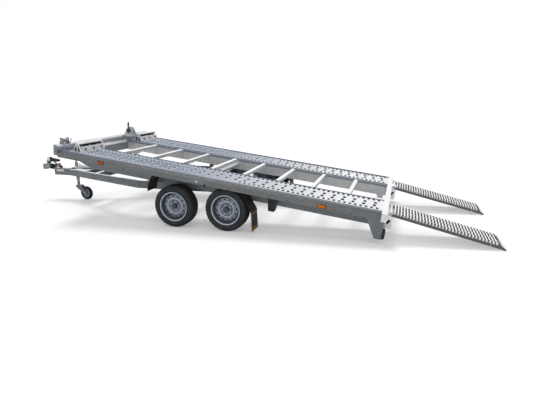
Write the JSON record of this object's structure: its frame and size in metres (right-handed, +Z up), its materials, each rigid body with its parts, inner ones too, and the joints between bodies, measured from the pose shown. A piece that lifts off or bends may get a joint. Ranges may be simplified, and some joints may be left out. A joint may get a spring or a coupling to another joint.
{
  "type": "tilt bed car hauler trailer",
  "caption": "Open car hauler trailer with a tilting two-track steel bed on tandem wheels, hinged loading ramps, winch, wheel stops and jockey wheel.",
  "frame": {"origin": "bottom centre of the whole trailer's box, on the ground, bed tipped and ramps down", "axes": "+X forward towards the coupling, +Y to the left, +Z up"},
  "size_m": [6.5852, 2.09, 1.1909],
  "materials": {
    "galvanised_steel": "hot-dip galvanised, matt grey",
    "bright_steel": "zinc plated, satin",
    "dark_steel": "dark, semi-matt",
    "wheel_paint": "silver, satin",
    "tyre_rubber": "matt",
    "solid_rubber": "matt",
    "black_plastic": "matt",
    "red_lens": "gloss"
  },
  "bodies": {
    "chassis": {"chassis_rail_left": "galvanised_steel", "chassis_rail_right": "galvanised_steel", "cross_member_1": "galvanised_steel", "cross_member_2": "galvanised_steel", "cross_member_3": "galvanised_steel", "axle_front": "galvanised_steel", "axle_rear": "galvanised_steel", "overrun_unit": "galvanised_steel", "coupling_head": "galvanised_steel", "coupling_handle": "black_plastic", "handbrake_lever": "dark_steel", "jockey_tube": "galvanised_steel", "hand_pump": "bright_steel"},
    "bed": {"front_beam": "galvanised_steel", "rear_beam": "galvanised_steel", "pivot_tube": "galvanised_steel", "corner_roller": "dark_steel", "winch_frame": "dark_steel", "rung_1": "galvanised_steel", "rung_2": "galvanised_steel", "rung_3": "galvanised_steel", "rung_4": "galvanised_steel", "rung_5": "galvanised_steel", "rung_6": "galvanised_steel", "rung_7": "galvanised_steel", "rung_8": "galvanised_steel", "track_left": "galvanised_steel", "track_right": "galvanised_steel", "inner_web_left": "galvanised_steel", "inner_web_right": "galvanised_steel", "rear_gusset_left": "galvanised_steel", "rear_gusset_right": "galvanised_steel", "side_rail_left": "galvanised_steel", "side_rail_right": "galvanised_steel", "outer_web_left": "galvanised_steel", "outer_web_right": "galvanised_steel", "rear_lamp_left": "red_lens", "rear_lamp_right": "red_lens", "mudguard_left": "black_plastic", "mudguard_right": "black_plastic", "wheel_stop_left": "bright_steel", "wheel_stop_right": "bright_steel", "wheel_chock_left": "black_plastic", "wheel_chock_right": "black_plastic"},
    "tilt_barrel": {"tilt_barrel": "dark_steel"},
    "tilt_rod": {"tilt_rod": "bright_steel"},
    "jockey_fork": {"jockey_fork": "galvanised_steel"},
    "jockey_wheel": {"jockey_wheel": "solid_rubber"},
    "winch": {"winch_drum": "bright_steel", "winch_crank": "dark_steel"},
    "ramp_left": {"ramp_left": "galvanised_steel"},
    "ramp_right": {"ramp_right": "galvanised_steel"},
    "wheel_front_left": {"rim_front_left": "wheel_paint", "tyre_front_left": "tyre_rubber"},
    "wheel_front_right": {"rim_front_right": "wheel_paint", "tyre_front_right": "tyre_rubber"},
    "wheel_rear_left": {"rim_rear_left": "wheel_paint", "tyre_rear_left": "tyre_rubber"},
    "wheel_rear_right": {"rim_rear_right": "wheel_paint", "tyre_rear_right": "tyre_rubber"}
  },
  "joints": [
    {"name": "bed_tilt", "type": "hinge", "parent": "chassis", "child": "bed", "pos_m": [0.10663, 0, 0.57482], "axis": [0, 1, 0], "range_deg": [0, 7.78]},
    {"name": "tilt_barrel_swing", "type": "hinge", "parent": "chassis", "child": "tilt_barrel", "pos_m": [1.076, 0, 0.452], "axis": [0, 1, 0], "range_deg": [0, 19.95]},
    {"name": "tilt_rod_slide", "type": "slide", "parent": "tilt_barrel", "child": "tilt_rod", "axis": [0.8338, 0, 0.5521], "range_m": [-0.07068, 0]},
    {"name": "jockey_swivel", "type": "hinge", "parent": "chassis", "child": "jockey_fork", "pos_m": [2.646, 0, 0.3], "axis": [0, 0, 1], "continuous": true},
    {"name": "jockey_wheel_spin", "type": "hinge", "parent": "jockey_fork", "child": "jockey_wheel", "pos_m": [2.511, 0, 0.105], "axis": [0, 1, 0], "continuous": true},
    {"name": "winch_turn", "type": "hinge", "parent": "bed", "child": "winch", "pos_m": [1.88275, -0.4, 1.05669], "axis": [0, 1, 0], "continuous": true},
    {"name": "ramp_hinge_left", "type": "hinge", "parent": "bed", "child": "ramp_left", "pos_m": [-2.15379, 0.685, 0.31343], "axis": [0, 1, 0], "range_deg": [-22, 80]},
    {"name": "ramp_hinge_right", "type": "hinge", "parent": "bed", "child": "ramp_right", "pos_m": [-2.15379, -0.685, 0.31343], "axis": [0, 1, 0], "range_deg": [-22, 80]},
    {"name": "wheel_spin_front_left", "type": "hinge", "parent": "chassis", "child": "wheel_front_left", "pos_m": [0.399, 0.9125, 0.2625], "axis": [0, 1, 0], "continuous": true},
    {"name": "wheel_spin_front_right", "type": "hinge", "parent": "chassis", "child": "wheel_front_right", "pos_m": [0.399, -0.9125, 0.2625], "axis": [0, 1, 0], "continuous": true},
    {"name": "wheel_spin_rear_left", "type": "hinge", "parent": "chassis", "child": "wheel_rear_left", "pos_m": [-0.286, 0.9125, 0.2625], "axis": [0, 1, 0], "continuous": true},
    {"name": "wheel_spin_rear_right", "type": "hinge", "parent": "chassis", "child": "wheel_rear_right", "pos_m": [-0.286, -0.9125, 0.2625], "axis": [0, 1, 0], "continuous": true}
  ],
  "couplings": [
    {"joint": "tilt_barrel_swing", "follows": "bed_tilt", "ratio": 2.5644},
    {"joint": "tilt_rod_slide", "follows": "bed_tilt", "m_per_rad": -0.5205}
  ]
}
